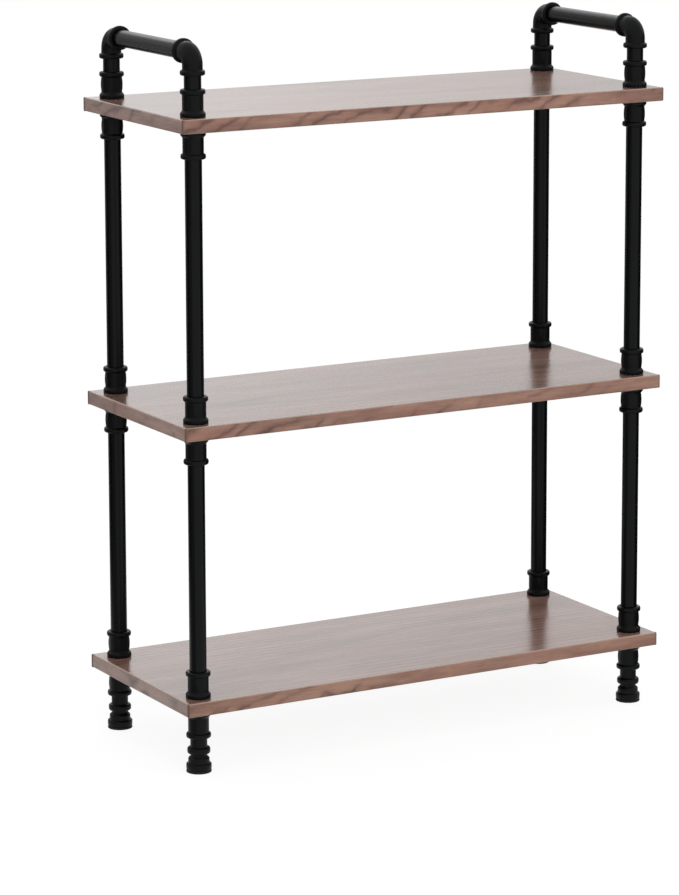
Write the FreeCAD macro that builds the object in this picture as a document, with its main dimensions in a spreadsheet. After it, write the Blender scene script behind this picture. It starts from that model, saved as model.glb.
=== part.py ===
import FreeCAD, Part
import math
import os
import Sketcher

# A free-standing shelving unit: three laminated boards, clamped at their corners between
# pipe fittings, on four pipe legs with levelling feet and with a pipe handrail at each end.
# Millimetres. The origin is on the floor under the middle of the shelves, +X runs along the
# width, +Y to the back and +Z up.

SIZES = (
    ("shelf_width", 750.0, "length of a finished shelf, over its edge bands"),
    ("shelf_depth", 300.0, "depth of a finished shelf, over its edge bands"),
    ("shelf_thickness", 19.0, "thickness of a laminated board"),
    ("edge_band_thickness", 3.0, "thickness of the strip glued on each edge"),
    ("edge_band_round", 2.2, "rounding of a strip's long outer corners"),
    ("post_inset", 29.0, "leg axis in from the two nearest edges of a shelf"),
    ("lower_post_show", 283.5, "length of a lower post between its collars"),
    ("upper_post_show", 316.0, "length of an upper post between its collars"),
    ("riser_show", 17.9, "length of a riser between its collar and its elbow"),
    ("socket_show", 22.2, "length of a foot socket below its collar"),
    ("pipe_diameter", 23.0, "outside of every pipe"),
    ("pipe_wall", 2.5, "wall of every pipe"),
    ("thread_cut", 1.0, "how far a pipe's end is turned down for its thread"),
    ("thread_length", 11.0, "length of the thread cut on a pipe's end"),
    ("thread_clearance", 0.05, "radial clearance of a thread in its fitting"),
    ("mouth_depth", 1.5, "depth of the plain mouth that a pipe's shoulder seats in"),
    ("mouth_clearance", 0.2, "radial clearance of a pipe in that mouth"),
    ("stud_wall", 3.0, "wall of a through stud"),
    ("stud_engagement", 12.0, "length of a stud's end inside a collar"),
    ("stud_hole_clearance", 0.5, "radial clearance of a stud in its hole through a board"),
    ("collar_wall", 2.4, "wall of a collar round its pipe"),
    ("collar_middle", 12.0, "length of a collar's bore between its stud and its pipe"),
    ("collar_bead_proud", 2.7, "how far the bead at a collar's outer end stands out"),
    ("collar_bead_height", 6.8, "height of that bead"),
    ("collar_bead_round", 2.4, "rounding of that bead"),
    ("collar_rim_proud", 2.8, "how far the rim that bears on the board stands out"),
    ("collar_rim_height", 5.0, "height of that rim's straight side"),
    ("collar_rim_slope", 3.2, "height of the slope from that rim to the barrel"),
    ("collar_rim_round", 1.0, "rounding of that rim's edge on the board"),
    ("collar_rib_proud", 0.7, "how far the middle of a grip rib stands out of the barrel"),
    ("collar_rib_width", 5.0, "width of a grip rib"),
    ("collar_rib_sink", 0.1, "how far a grip rib's ends dip under the barrel's face"),
    ("collar_rib_turn", 60.0, "turn of the ribs from +X on the first pair of legs, degrees"),
    ("elbow_wall", 1.9, "wall of an elbow round its pipe"),
    ("elbow_inside_radius", 3.4, "radius of an elbow's body on the inside of the bend"),
    ("elbow_bead_proud", 3.0, "how far the bead at an elbow's port stands out"),
    ("elbow_bead_height", 7.0, "height of that bead"),
    ("elbow_bead_round", 2.4, "rounding of that bead"),
    ("elbow_thread_runout", 0.3, "tapped length of a port past the end of its pipe"),
    ("socket_wall", 2.45, "wall of a foot socket's threaded end round the stem"),
    ("socket_bead_proud", 4.1, "how far a foot socket's bead stands out"),
    ("socket_bead_height", 9.2, "height of that bead"),
    ("socket_bead_round", 3.0, "rounding of that bead"),
    ("running_clearance", 0.05, "radial clearance of a part that turns or slides in another"),
    ("stem_length", 20.0, "length of a foot's threaded stem above its neck"),
    ("stem_chamfer", 1.0, "chamfer on that stem's end"),
    ("neck_step", 3.2, "step out from a foot's stem to its neck"),
    ("neck_height", 2.8, "height of that neck"),
    ("neck_gap", 0.3, "gap over the neck with the foot screwed right in"),
    ("shoulder_step", 3.25, "step out from a foot's neck to its body"),
    ("shoulder_height", 3.2, "height of the slope between them"),
    ("foot_body_height", 6.6, "height of a foot's body"),
    ("foot_bead_proud", 2.75, "how far a foot's wide bead stands out of its body"),
    ("foot_bead_height", 9.4, "height of that bead"),
    ("foot_bead_round", 2.4, "rounding of that bead's upper edge"),
    ("foot_base_inset", 0.9, "how far a foot's underside lies in from its wide bead"),
    ("foot_base_slope", 2.0, "height of the slope between them"),
    ("pad_rim", 0.8, "how far a foot pad stands out round a foot's underside"),
    ("pad_thickness", 3.0, "thickness of a foot pad"),
    ("pad_plug_diameter", 8.0, "outside of the plug that holds a pad in its foot"),
    ("pad_plug_height", 4.0, "height of that plug"),
    ("pad_plug_gap", 0.5, "gap over that plug"),
    ("round_share", 0.9, "largest share of a ledge that a rounding may take"),
)

DERIVED = (
    ("post_x", "shelf_width / 2 - post_inset"),
    ("post_y", "shelf_depth / 2 - post_inset"),
    ("edge_round", "min(edge_band_round; round_share * edge_band_thickness)"),
    ("pipe_radius", "pipe_diameter / 2"),
    ("pipe_bore_radius", "pipe_radius - pipe_wall"),
    ("thread_radius", "pipe_radius - thread_cut"),
    ("tapped_radius", "thread_radius + thread_clearance"),
    ("mouth_radius", "pipe_radius + mouth_clearance"),
    ("stud_bore_radius", "thread_radius - stud_wall"),
    ("stud_hole_radius", "thread_radius + stud_hole_clearance"),
    ("collar_length", "stud_engagement + collar_middle + thread_length + mouth_depth"),
    ("collar_seat", "collar_length - mouth_depth"),
    ("collar_radius", "mouth_radius + collar_wall"),
    ("collar_bead_radius", "collar_radius + collar_bead_proud"),
    ("collar_bead_ledge", "min(collar_bead_proud; collar_bead_height / 2)"),
    ("collar_rounding", "min(collar_bead_round; round_share * collar_bead_ledge)"),
    ("collar_rim_radius", "collar_radius + collar_rim_proud"),
    ("rib_start", "collar_rim_height + collar_rim_slope"),
    ("rib_end", "collar_length - collar_bead_height"),
    ("rib_half_span", "(rib_end - rib_start) / 2"),
    ("rib_foot", "sqrt(collar_radius ^ 2 - (collar_rib_width / 2) ^ 2) - collar_rib_sink"),
    ("rib_rise", "collar_radius + collar_rib_proud - rib_foot"),
    ("rib_arch_radius", "(rib_half_span ^ 2 + rib_rise ^ 2) / (2 * rib_rise)"),
    ("rib_root", "(rib_foot + tapped_radius) / 2"),
    ("elbow_radius", "mouth_radius + elbow_wall"),
    ("elbow_bead_radius", "elbow_radius + elbow_bead_proud"),
    ("elbow_bead_ledge", "min(elbow_bead_proud; elbow_bead_height / 2)"),
    ("elbow_rounding", "min(elbow_bead_round; round_share * elbow_bead_ledge)"),
    ("elbow_bend_radius", "elbow_radius + elbow_inside_radius"),
    ("elbow_thread_end", "elbow_bend_radius"),
    ("elbow_seat", "elbow_thread_end + elbow_thread_runout + thread_length"),
    ("elbow_reach", "elbow_seat + mouth_depth"),
    ("stem_bore_radius", "thread_radius - socket_wall"),
    ("stem_radius", "stem_bore_radius - running_clearance"),
    ("neck_radius", "stem_radius + neck_step"),
    ("foot_radius", "neck_radius + shoulder_step"),
    ("foot_bead_radius", "foot_radius + foot_bead_proud"),
    ("foot_rounding", "min(foot_bead_round; round_share * foot_bead_proud)"),
    ("foot_base_radius", "foot_bead_radius - foot_base_inset"),
    ("foot_shoulder_start", "foot_bead_height + foot_body_height"),
    ("foot_neck_start", "foot_shoulder_start + shoulder_height"),
    ("foot_neck_end", "foot_neck_start + neck_height"),
    ("foot_end", "foot_neck_end + stem_length"),
    ("pad_radius", "foot_base_radius + pad_rim"),
    ("pad_plug_radius", "pad_plug_diameter / 2"),
    ("pad_hole_radius", "pad_plug_radius + running_clearance"),
    ("pad_hole_depth", "pad_plug_height + pad_plug_gap"),
    ("socket_bead_radius", "pipe_radius + socket_bead_proud"),
    ("socket_bead_ledge", "min(socket_bead_proud; socket_bead_height / 2)"),
    ("socket_rounding", "min(socket_bead_round; round_share * socket_bead_ledge)"),
    ("socket_shoulder", "socket_show + mouth_depth"),
    ("socket_underside", "pad_thickness + foot_neck_end + neck_gap"),
    ("bottom_shelf_underside", "socket_underside + socket_show + collar_length"),
    ("bottom_shelf_top", "bottom_shelf_underside + shelf_thickness"),
    ("middle_shelf_underside", "bottom_shelf_top + lower_post_show + 2 * collar_length"),
    ("middle_shelf_top", "middle_shelf_underside + shelf_thickness"),
    ("top_shelf_underside", "middle_shelf_top + upper_post_show + 2 * collar_length"),
    ("top_shelf_top", "top_shelf_underside + shelf_thickness"),
    ("handrail_height", "top_shelf_top + collar_length + riser_show + elbow_reach"),
)

# name, side in X and side in Y of each leg
CORNERS = (
    ("front_left", -1, -1),
    ("front_right", 1, -1),
    ("back_right", 1, 1),
    ("back_left", -1, 1),
)
SHELVES = ("top", "middle", "bottom")
X_AXIS = FreeCAD.Vector(1, 0, 0)
Y_AXIS = FreeCAD.Vector(0, 1, 0)
Z_AXIS = FreeCAD.Vector(0, 0, 1)
MATCH = 1e-4

doc = FreeCAD.newDocument("pipe_shelving_unit")
sheet = doc.addObject("Spreadsheet::Sheet", "Sizes")
nodes = []


def fill_sheet():
    """Writes the driving sizes as plain numbers and the sizes worked out from them as formulas."""
    for row, (alias, value, meaning) in enumerate(SIZES, start=1):
        sheet.set(f"A{row}", alias)
        sheet.set(f"B{row}", str(value))
        sheet.setAlias(f"B{row}", alias)
        sheet.set(f"C{row}", meaning)
    for row, (alias, formula) in enumerate(DERIVED, start=len(SIZES) + 2):
        sheet.set(f"A{row}", alias)
        sheet.set(f"B{row}", "=" + formula)
        sheet.setAlias(f"B{row}", alias)
    doc.recompute()


def value_of(expression):
    """The number that an expression on the sheet stands for now."""
    return float(sheet.evalExpression(expression))


def bind(item, **expressions):
    """Binds properties of an object to expressions; a double underscore stands for a dot."""
    for name, expression in expressions.items():
        item.setExpression(name.replace("__", "."), expression)


def place(item, x="0", y="0", z="0", rotation=None):
    """Puts an object at expressions on the sheet, turned by a fixed rotation."""
    item.Placement = FreeCAD.Placement(FreeCAD.Vector(), rotation or FreeCAD.Rotation())
    bind(item, Placement__Base__x=x, Placement__Base__y=y, Placement__Base__z=z)


def origin_feature(body, role):
    """One of a body's own origin planes or axes."""
    return next(f for f in body.Origin.OriginFeatures if f.Role == role)


def new_body(label):
    """An empty body that becomes the node of that name."""
    body = doc.addObject("PartDesign::Body", label)
    body.Label = label
    nodes.append(body)
    return body


def new_sketch(body, plane):
    """A sketch on one of the body's own origin planes."""
    sketch = body.newObject("Sketcher::SketchObject", "outline")
    sketch.AttachmentSupport = [(origin_feature(body, plane), "")]
    sketch.MapMode = "FlatFace"
    return sketch


def pin_point(sketch, piece, end, across, up):
    """Holds a point of the sketch at two expressions measured from the sketch's origin."""
    for kind, expression in (("DistanceX", across), ("DistanceY", up)):
        constraint = Sketcher.Constraint(kind, -1, 1, piece, end, value_of(expression))
        number = sketch.addConstraint(constraint)
        sketch.setExpression(f"Constraints[{number}]", expression)


def draw_outline(sketch, corners):
    """A closed outline of straight lines through corners, each given as two expressions."""
    points = [FreeCAD.Vector(value_of(across), value_of(up), 0) for across, up in corners]
    first = sketch.GeometryCount
    for start, end in zip(points, points[1:] + points[:1]):
        sketch.addGeometry(Part.LineSegment(start, end))
    for number in range(len(corners)):
        following = (number + 1) % len(corners)
        sketch.addConstraint(Sketcher.Constraint("Coincident", first + number, 2, first + following, 1))
    for number, (across, up) in enumerate(corners):
        pin_point(sketch, first + number, 1, across, up)


def draw_circle(sketch, across, up, diameter):
    """A circle whose centre and diameter are expressions."""
    centre = FreeCAD.Vector(value_of(across), value_of(up), 0)
    radius = value_of(diameter) / 2
    number = sketch.addGeometry(Part.Circle(centre, FreeCAD.Vector(0, 0, 1), radius))
    pin_point(sketch, number, 3, across, up)
    constraint = sketch.addConstraint(Sketcher.Constraint("Diameter", number, 2 * radius))
    sketch.setExpression(f"Constraints[{constraint}]", diameter)


def revolve(body, plane, axis, corners, kind="PartDesign::Revolution"):
    """Turns an outline once round an axis of the body's own origin."""
    sketch = new_sketch(body, plane)
    draw_outline(sketch, corners)
    turned = body.newObject(kind, "turned")
    turned.Profile = sketch
    turned.ReferenceAxis = (origin_feature(body, axis), [""])
    turned.Angle = 360
    doc.recompute()
    return turned


def ring_edges(shape, axis, radius, stations):
    """Numbers of the edges on circles of that radius centred at those stations on the axis."""
    numbers = []
    for number, edge in enumerate(shape.Edges, start=1):
        if not isinstance(edge.Curve, Part.Circle):
            continue
        station = edge.Curve.Center.dot(axis)
        if abs(edge.Curve.Radius - radius) > MATCH:
            continue
        if any(abs(station - wanted) < MATCH for wanted in stations):
            numbers.append(number)
    return numbers


def round_rings(body, axis, radius, stations, size):
    """Rounds the whole circles found by the expressions of their radius and stations."""
    base = body.Tip
    places = [value_of(station) for station in stations]
    numbers = ring_edges(base.Shape, axis, value_of(radius), places)
    found = sum(base.Shape.Edges[number - 1].Length for number in numbers)
    wanted = len(stations) * 2 * math.pi * value_of(radius)
    if abs(found - wanted) > MATCH * wanted:
        raise RuntimeError(f"{body.Label}: {found} mm of {wanted} mm found to round")
    fillet = body.newObject("PartDesign::Fillet", "rounding")
    fillet.Base = (base, [f"Edge{number}" for number in numbers])
    bind(fillet, Radius=size)
    doc.recompute()


def make_board(shelf):
    """A laminated board with a stud hole near each corner, without its edge bands."""
    body = new_body(f"shelf_board_{shelf}")
    sketch = new_sketch(body, "XY_Plane")
    half_width = "(Sizes.shelf_width / 2 - Sizes.edge_band_thickness)"
    half_depth = "(Sizes.shelf_depth / 2 - Sizes.edge_band_thickness)"
    sides = ((-1, -1), (1, -1), (1, 1), (-1, 1))
    draw_outline(sketch, [(f"{x} * {half_width}", f"{y} * {half_depth}") for x, y in sides])
    for _, x, y in CORNERS:
        draw_circle(sketch, f"{x} * Sizes.post_x", f"{y} * Sizes.post_y", "2 * Sizes.stud_hole_radius")
    board = body.newObject("PartDesign::Pad", "board")
    board.Profile = sketch
    bind(board, Length="Sizes.shelf_thickness")
    place(body, z=f"Sizes.{shelf}_shelf_underside")


def make_strip(name, length, width, x, y, z):
    """One edge band: a thin upright strip centred on x and y, its outer long corners rounded."""
    strip = doc.addObject("Part::Box", name)
    bind(strip, Length=length, Width=width, Height="Sizes.shelf_thickness")
    place(strip, f"{x} - ({length}) / 2", f"{y} - ({width}) / 2", z)
    doc.recompute()
    runs_along_x = strip.Length.Value > strip.Width.Value
    size = value_of("Sizes.edge_round")
    edges = []
    for number, edge in enumerate(strip.Shape.Edges, start=1):
        middle = edge.CenterOfMass
        across = abs(middle.y) if runs_along_x else abs(middle.x)
        outermost = value_of("Sizes.shelf_depth / 2" if runs_along_x else "Sizes.shelf_width / 2")
        is_long = edge.Length > 2 * strip.Height.Value
        if is_long and abs(across - outermost) < MATCH:
            edges.append((number, size, size))
    rounded = doc.addObject("Part::Fillet", name + "_rounded")
    rounded.Base = strip
    rounded.Edges = edges
    return rounded


def make_edge_bands():
    """The strips on the long edges run the full width; those on the ends fit between them."""
    thickness = "Sizes.edge_band_thickness"
    end_length = f"Sizes.shelf_depth - 2 * {thickness}"
    long_strips = []
    end_strips = []
    for shelf in SHELVES:
        z = f"Sizes.{shelf}_shelf_underside"
        for side in (-1, 1):
            y = f"{side} * (Sizes.shelf_depth - {thickness}) / 2"
            x = f"{side} * (Sizes.shelf_width - {thickness}) / 2"
            long_strips.append(make_strip("long_strip", "Sizes.shelf_width", thickness, "0", y, z))
            end_strips.append(make_strip("end_strip", thickness, end_length, x, "0", z))
    make_group("long_edge_bands", long_strips)
    make_group("end_edge_bands", end_strips)


def make_group(label, members):
    """One node that holds several alike solids, each of them separate."""
    group = doc.addObject("Part::Compound", label)
    group.Label = label
    group.Links = members
    nodes.append(group)


def make_stud(x, y, underside):
    """A hollow threaded stud through a board, standing equally out of both its faces."""
    wall = doc.addObject("Part::Cylinder", "stud_wall")
    hollow = doc.addObject("Part::Cylinder", "stud_hollow")
    length = "Sizes.shelf_thickness + 2 * Sizes.stud_engagement"
    bind(wall, Radius="Sizes.thread_radius", Height=length)
    bind(hollow, Radius="Sizes.stud_bore_radius", Height=length)
    stud = doc.addObject("Part::Cut", "stud")
    stud.Base = wall
    stud.Tool = hollow
    place(stud, x, y, f"{underside} - Sizes.stud_engagement")
    return stud


def make_studs():
    """The studs of all the boards, one through each hole."""
    studs = []
    for shelf in SHELVES:
        for _, x, y in CORNERS:
            place_x = f"{x} * Sizes.post_x"
            place_y = f"{y} * Sizes.post_y"
            studs.append(make_stud(place_x, place_y, f"Sizes.{shelf}_shelf_underside"))
    make_group("through_studs", studs)


def add_collar_ribs(body):
    """Two arched grip ribs on opposite sides of a collar, between its rim and its bead."""
    sketch = new_sketch(body, "XZ_Plane")
    foot = "Sizes.rib_foot"
    root = "Sizes.rib_root"
    low = "Sizes.rib_start"
    high = "Sizes.rib_end"
    start = FreeCAD.Vector(value_of(foot), value_of(low), 0)
    end = FreeCAD.Vector(value_of(foot), value_of(high), 0)
    crown = (start + end) / 2 + FreeCAD.Vector(value_of("Sizes.rib_rise"), 0, 0)
    inner_end = FreeCAD.Vector(value_of(root), end.y, 0)
    inner_start = FreeCAD.Vector(value_of(root), start.y, 0)
    arch = sketch.addGeometry(Part.Arc(start, crown, end))
    top = sketch.addGeometry(Part.LineSegment(end, inner_end))
    back = sketch.addGeometry(Part.LineSegment(inner_end, inner_start))
    bottom = sketch.addGeometry(Part.LineSegment(inner_start, start))
    for joined in ((arch, 2, top, 1), (top, 2, back, 1), (back, 2, bottom, 1), (bottom, 2, arch, 1)):
        sketch.addConstraint(Sketcher.Constraint("Coincident", *joined))
    pin_point(sketch, arch, 1, foot, low)
    pin_point(sketch, top, 1, foot, high)
    pin_point(sketch, back, 1, root, high)
    pin_point(sketch, bottom, 1, root, low)
    bend = "Sizes.rib_arch_radius"
    constraint = sketch.addConstraint(Sketcher.Constraint("Radius", arch, value_of(bend)))
    sketch.setExpression(f"Constraints[{constraint}]", bend)
    rib = body.newObject("PartDesign::Pad", "rib")
    rib.Profile = sketch
    rib.Midplane = True
    bind(rib, Length="Sizes.collar_rib_width")
    doc.recompute()
    pair = body.newObject("PartDesign::PolarPattern", "rib_pair")
    pair.Originals = [rib]
    pair.Axis = (origin_feature(body, "Z_Axis"), [""])
    pair.Angle = 360
    pair.Occurrences = 2
    body.Tip = pair
    doc.recompute()


def make_collar(label, x, y, face, below, turn):
    """A collar with its rim on a board's face and its bead away from the board."""
    body = new_body(label)
    revolve(body, "XZ_Plane", "Z_Axis", (
        ("Sizes.tapped_radius", "0"),
        ("Sizes.collar_rim_radius", "0"),
        ("Sizes.collar_rim_radius", "Sizes.collar_rim_height"),
        ("Sizes.collar_radius", "Sizes.rib_start"),
        ("Sizes.collar_radius", "Sizes.rib_end"),
        ("Sizes.collar_bead_radius", "Sizes.rib_end"),
        ("Sizes.collar_bead_radius", "Sizes.collar_length"),
        ("Sizes.mouth_radius", "Sizes.collar_length"),
        ("Sizes.mouth_radius", "Sizes.collar_seat"),
        ("Sizes.tapped_radius", "Sizes.collar_seat"),
    ))
    add_collar_ribs(body)
    bead = ("Sizes.rib_end", "Sizes.collar_length")
    round_rings(body, Z_AXIS, "Sizes.collar_bead_radius", bead, "Sizes.collar_rounding")
    round_rings(body, Z_AXIS, "Sizes.collar_rim_radius", ("0",), "Sizes.collar_rim_round")
    over = FreeCAD.Rotation(X_AXIS, 180 if below else 0)
    place(body, x, y, face, FreeCAD.Rotation(Z_AXIS, turn) * over)


def make_collars():
    """A collar over and a collar under each board at each corner."""
    turn = value_of("Sizes.collar_rib_turn")
    for shelf in SHELVES:
        for corner, x, y in CORNERS:
            place_x = f"{x} * Sizes.post_x"
            place_y = f"{y} * Sizes.post_y"
            corner_turn = turn if x == y else turn - 90
            above = f"collar_above_{shelf}_shelf_{corner}"
            below = f"collar_below_{shelf}_shelf_{corner}"
            make_collar(above, place_x, place_y, f"Sizes.{shelf}_shelf_top", False, corner_turn)
            make_collar(below, place_x, place_y, f"Sizes.{shelf}_shelf_underside", True, corner_turn)


def make_pipe(label, length):
    """A pipe whose shoulders are that far apart, with a turned-down thread past each shoulder."""
    body = new_body(label)
    far_end = f"{length} + Sizes.thread_length"
    revolve(body, "XZ_Plane", "Z_Axis", (
        ("Sizes.pipe_bore_radius", "-1 * Sizes.thread_length"),
        ("Sizes.thread_radius", "-1 * Sizes.thread_length"),
        ("Sizes.thread_radius", "0"),
        ("Sizes.pipe_radius", "0"),
        ("Sizes.pipe_radius", length),
        ("Sizes.thread_radius", length),
        ("Sizes.thread_radius", far_end),
        ("Sizes.pipe_bore_radius", far_end),
    ))
    return body


def make_upright(label, x, y, start, end):
    """An upright pipe whose shoulders seat at the heights start and end."""
    body = make_pipe(label, f"(({end}) - ({start}))")
    place(body, f"{x} * Sizes.post_x", f"{y} * Sizes.post_y", start)


def make_uprights():
    """The lower post, the upper post and the riser of each leg, seated in their fittings."""
    for corner, x, y in CORNERS:
        over_bottom = "Sizes.bottom_shelf_top + Sizes.collar_seat"
        under_middle = "Sizes.middle_shelf_underside - Sizes.collar_seat"
        over_middle = "Sizes.middle_shelf_top + Sizes.collar_seat"
        under_top = "Sizes.top_shelf_underside - Sizes.collar_seat"
        over_top = "Sizes.top_shelf_top + Sizes.collar_seat"
        in_elbow = "Sizes.handrail_height - Sizes.elbow_seat"
        make_upright(f"lower_post_{corner}", x, y, over_bottom, under_middle)
        make_upright(f"upper_post_{corner}", x, y, over_middle, under_top)
        make_upright(f"riser_{corner}", x, y, over_top, in_elbow)


def make_handrails():
    """A handrail along each end of the unit, seated in the front and the back elbow."""
    half_length = "(Sizes.post_y - Sizes.elbow_seat)"
    along_y = FreeCAD.Rotation(X_AXIS, -90)
    for side, x in (("left", -1), ("right", 1)):
        body = make_pipe(f"handrail_{side}", f"2 * {half_length}")
        place(body, f"{x} * Sizes.post_x", f"-1 * {half_length}", "Sizes.handrail_height", along_y)


def turn_bend(body, diameter, kind):
    """A quarter turn of a round section between the ends of an elbow's straight stretches."""
    bend = "Sizes.elbow_bend_radius"
    section = new_sketch(body, "XY_Plane")
    bind(section, AttachmentOffset__Base__y=bend, AttachmentOffset__Base__z=f"-1 * {bend}")
    draw_circle(section, "0", f"-1 * {bend}", diameter)
    turned = body.newObject(kind, "bend")
    turned.Profile = section
    turned.ReferenceAxis = (section, ["H_Axis"])
    turned.Angle = 90
    turned.Reversed = True
    doc.recompute()


def cut_elbow(body, ports):
    """The pipe bore through an elbow and the mouth and thread of each port."""
    bore = "Sizes.pipe_bore_radius"
    turn_bend(body, "2 * Sizes.pipe_bore_radius", "PartDesign::Groove")
    for plane, axis, way in ports:
        face = f"{way} * Sizes.elbow_reach"
        bend_end = f"{way} * Sizes.elbow_bend_radius"
        seat = f"{way} * Sizes.elbow_seat"
        thread_end = f"{way} * Sizes.elbow_thread_end"
        straight = (("0", face), (bore, face), (bore, bend_end), ("0", bend_end))
        thread = (
            ("0", face),
            ("Sizes.mouth_radius", face),
            ("Sizes.mouth_radius", seat),
            ("Sizes.tapped_radius", seat),
            ("Sizes.tapped_radius", thread_end),
            ("0", thread_end),
        )
        for outline in (straight, thread):
            before = body.Shape.Volume
            revolve(body, plane, axis, outline, "PartDesign::Groove")
            if body.Shape.Volume >= before:
                raise RuntimeError(f"{body.Label}: a port was not cut")


def make_elbow(label, x, y):
    """A beaded elbow: one port down on the riser, one level towards the other leg."""
    body = new_body(label)
    ports = (("XZ_Plane", "Z_Axis", -1), ("XY_Plane", "Y_Axis", 1))
    directions = {"Z_Axis": Z_AXIS, "Y_Axis": Y_AXIS}
    turn_bend(body, "2 * Sizes.elbow_radius", "PartDesign::Revolution")
    for plane, axis, way in ports:
        face = f"{way} * Sizes.elbow_reach"
        bead_end = f"{way} * (Sizes.elbow_reach - Sizes.elbow_bead_height)"
        bend_end = f"{way} * Sizes.elbow_bend_radius"
        revolve(body, plane, axis, (
            ("0", face),
            ("Sizes.elbow_bead_radius", face),
            ("Sizes.elbow_bead_radius", bead_end),
            ("Sizes.elbow_radius", bead_end),
            ("Sizes.elbow_radius", bend_end),
            ("0", bend_end),
        ))
        bead = (face, bead_end)
        round_rings(body, directions[axis], "Sizes.elbow_bead_radius", bead, "Sizes.elbow_rounding")
    cut_elbow(body, ports)
    facing = FreeCAD.Rotation(Z_AXIS, 180 if y > 0 else 0)
    place(body, f"{x} * Sizes.post_x", f"{y} * Sizes.post_y", "Sizes.handrail_height", facing)


def make_foot_socket(label, x, y):
    """The beaded tube under a leg's lowest collar, bored for the stem of its levelling foot."""
    body = new_body(label)
    shoulder = "Sizes.socket_shoulder"
    end = f"{shoulder} + Sizes.thread_length"
    revolve(body, "XZ_Plane", "Z_Axis", (
        ("Sizes.stem_bore_radius", "0"),
        ("Sizes.socket_bead_radius", "0"),
        ("Sizes.socket_bead_radius", "Sizes.socket_bead_height"),
        ("Sizes.pipe_radius", "Sizes.socket_bead_height"),
        ("Sizes.pipe_radius", shoulder),
        ("Sizes.thread_radius", shoulder),
        ("Sizes.thread_radius", end),
        ("Sizes.stem_bore_radius", end),
    ))
    bead = ("0", "Sizes.socket_bead_height")
    round_rings(body, Z_AXIS, "Sizes.socket_bead_radius", bead, "Sizes.socket_rounding")
    place(body, f"{x} * Sizes.post_x", f"{y} * Sizes.post_y", "Sizes.socket_underside")


def make_levelling_foot(label, x, y):
    """A cup with a wide bead, a shouldered neck and a stem that screws into the socket."""
    body = new_body(label)
    revolve(body, "XZ_Plane", "Z_Axis", (
        ("Sizes.pad_hole_radius", "0"),
        ("Sizes.foot_base_radius", "0"),
        ("Sizes.foot_bead_radius", "Sizes.foot_base_slope"),
        ("Sizes.foot_bead_radius", "Sizes.foot_bead_height"),
        ("Sizes.foot_radius", "Sizes.foot_bead_height"),
        ("Sizes.foot_radius", "Sizes.foot_shoulder_start"),
        ("Sizes.neck_radius", "Sizes.foot_neck_start"),
        ("Sizes.neck_radius", "Sizes.foot_neck_end"),
        ("Sizes.stem_radius", "Sizes.foot_neck_end"),
        ("Sizes.stem_radius", "Sizes.foot_end - Sizes.stem_chamfer"),
        ("Sizes.stem_radius - Sizes.stem_chamfer", "Sizes.foot_end"),
        ("0", "Sizes.foot_end"),
        ("0", "Sizes.pad_hole_depth"),
        ("Sizes.pad_hole_radius", "Sizes.pad_hole_depth"),
    ))
    top = ("Sizes.foot_bead_height",)
    round_rings(body, Z_AXIS, "Sizes.foot_bead_radius", top, "Sizes.foot_rounding")
    place(body, f"{x} * Sizes.post_x", f"{y} * Sizes.post_y", "Sizes.pad_thickness")


def make_foot_pad(label, x, y):
    """The pad that stands on the floor, with the plug that holds it in the foot."""
    body = new_body(label)
    plug_end = "Sizes.pad_thickness + Sizes.pad_plug_height"
    revolve(body, "XZ_Plane", "Z_Axis", (
        ("0", "0"),
        ("Sizes.pad_radius", "0"),
        ("Sizes.pad_radius", "Sizes.pad_thickness"),
        ("Sizes.pad_plug_radius", "Sizes.pad_thickness"),
        ("Sizes.pad_plug_radius", plug_end),
        ("0", plug_end),
    ))
    place(body, f"{x} * Sizes.post_x", f"{y} * Sizes.post_y")


def make_corner_fittings():
    """The elbow, the foot socket, the levelling foot and the pad of each leg."""
    for corner, x, y in CORNERS:
        make_elbow(f"elbow_{corner}", x, y)
        make_foot_socket(f"foot_socket_{corner}", x, y)
        make_levelling_foot(f"levelling_foot_{corner}", x, y)
        make_foot_pad(f"foot_pad_{corner}", x, y)


def check_model():
    """Stops before anything is written if an object failed or a node's shape is not sound."""
    for item in doc.Objects:
        if "Invalid" in item.State or "Error" in item.State:
            raise RuntimeError(f"{item.Label} failed: {item.State}")
    for node in nodes:
        if node.Shape.isNull() or not node.Shape.isValid() or not node.Shape.Solids:
            raise RuntimeError(f"{node.Label} has no sound solid")


def write_nodes():
    """One STEP file for each node, named after it."""
    os.makedirs("parts", exist_ok=True)
    for node in nodes:
        node.Shape.exportStep(f"parts/{node.Label}.step")
    print(f"{len(nodes)} nodes, {sum(len(node.Shape.Solids) for node in nodes)} solids written")


fill_sheet()
for shelf_name in SHELVES:
    make_board(shelf_name)
make_edge_bands()
make_studs()
make_collars()
make_uprights()
make_handrails()
make_corner_fittings()
doc.recompute()
check_model()
write_nodes()
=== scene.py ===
import math

import bmesh
import bpy
from bpy.props import FloatProperty, FloatVectorProperty, IntProperty, PointerProperty
from mathutils import Matrix, Vector


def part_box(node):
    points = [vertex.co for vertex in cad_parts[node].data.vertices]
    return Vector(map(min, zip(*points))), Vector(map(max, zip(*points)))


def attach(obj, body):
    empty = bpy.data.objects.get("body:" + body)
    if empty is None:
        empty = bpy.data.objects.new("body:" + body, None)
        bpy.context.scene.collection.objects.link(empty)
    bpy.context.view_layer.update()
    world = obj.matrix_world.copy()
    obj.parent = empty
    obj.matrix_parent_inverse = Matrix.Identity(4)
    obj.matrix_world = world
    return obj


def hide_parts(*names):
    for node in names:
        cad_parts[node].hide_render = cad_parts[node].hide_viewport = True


# Dresses a three-shelf pipe shelving unit. The cast fittings, the levelling feet and their
# pads are modelled here in the places of their solids; the boards, edge bands, pipes and
# studs keep their solids. Sizes are millimetres and turns are degrees unless a comment says
# otherwise; the scene is in metres.

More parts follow.
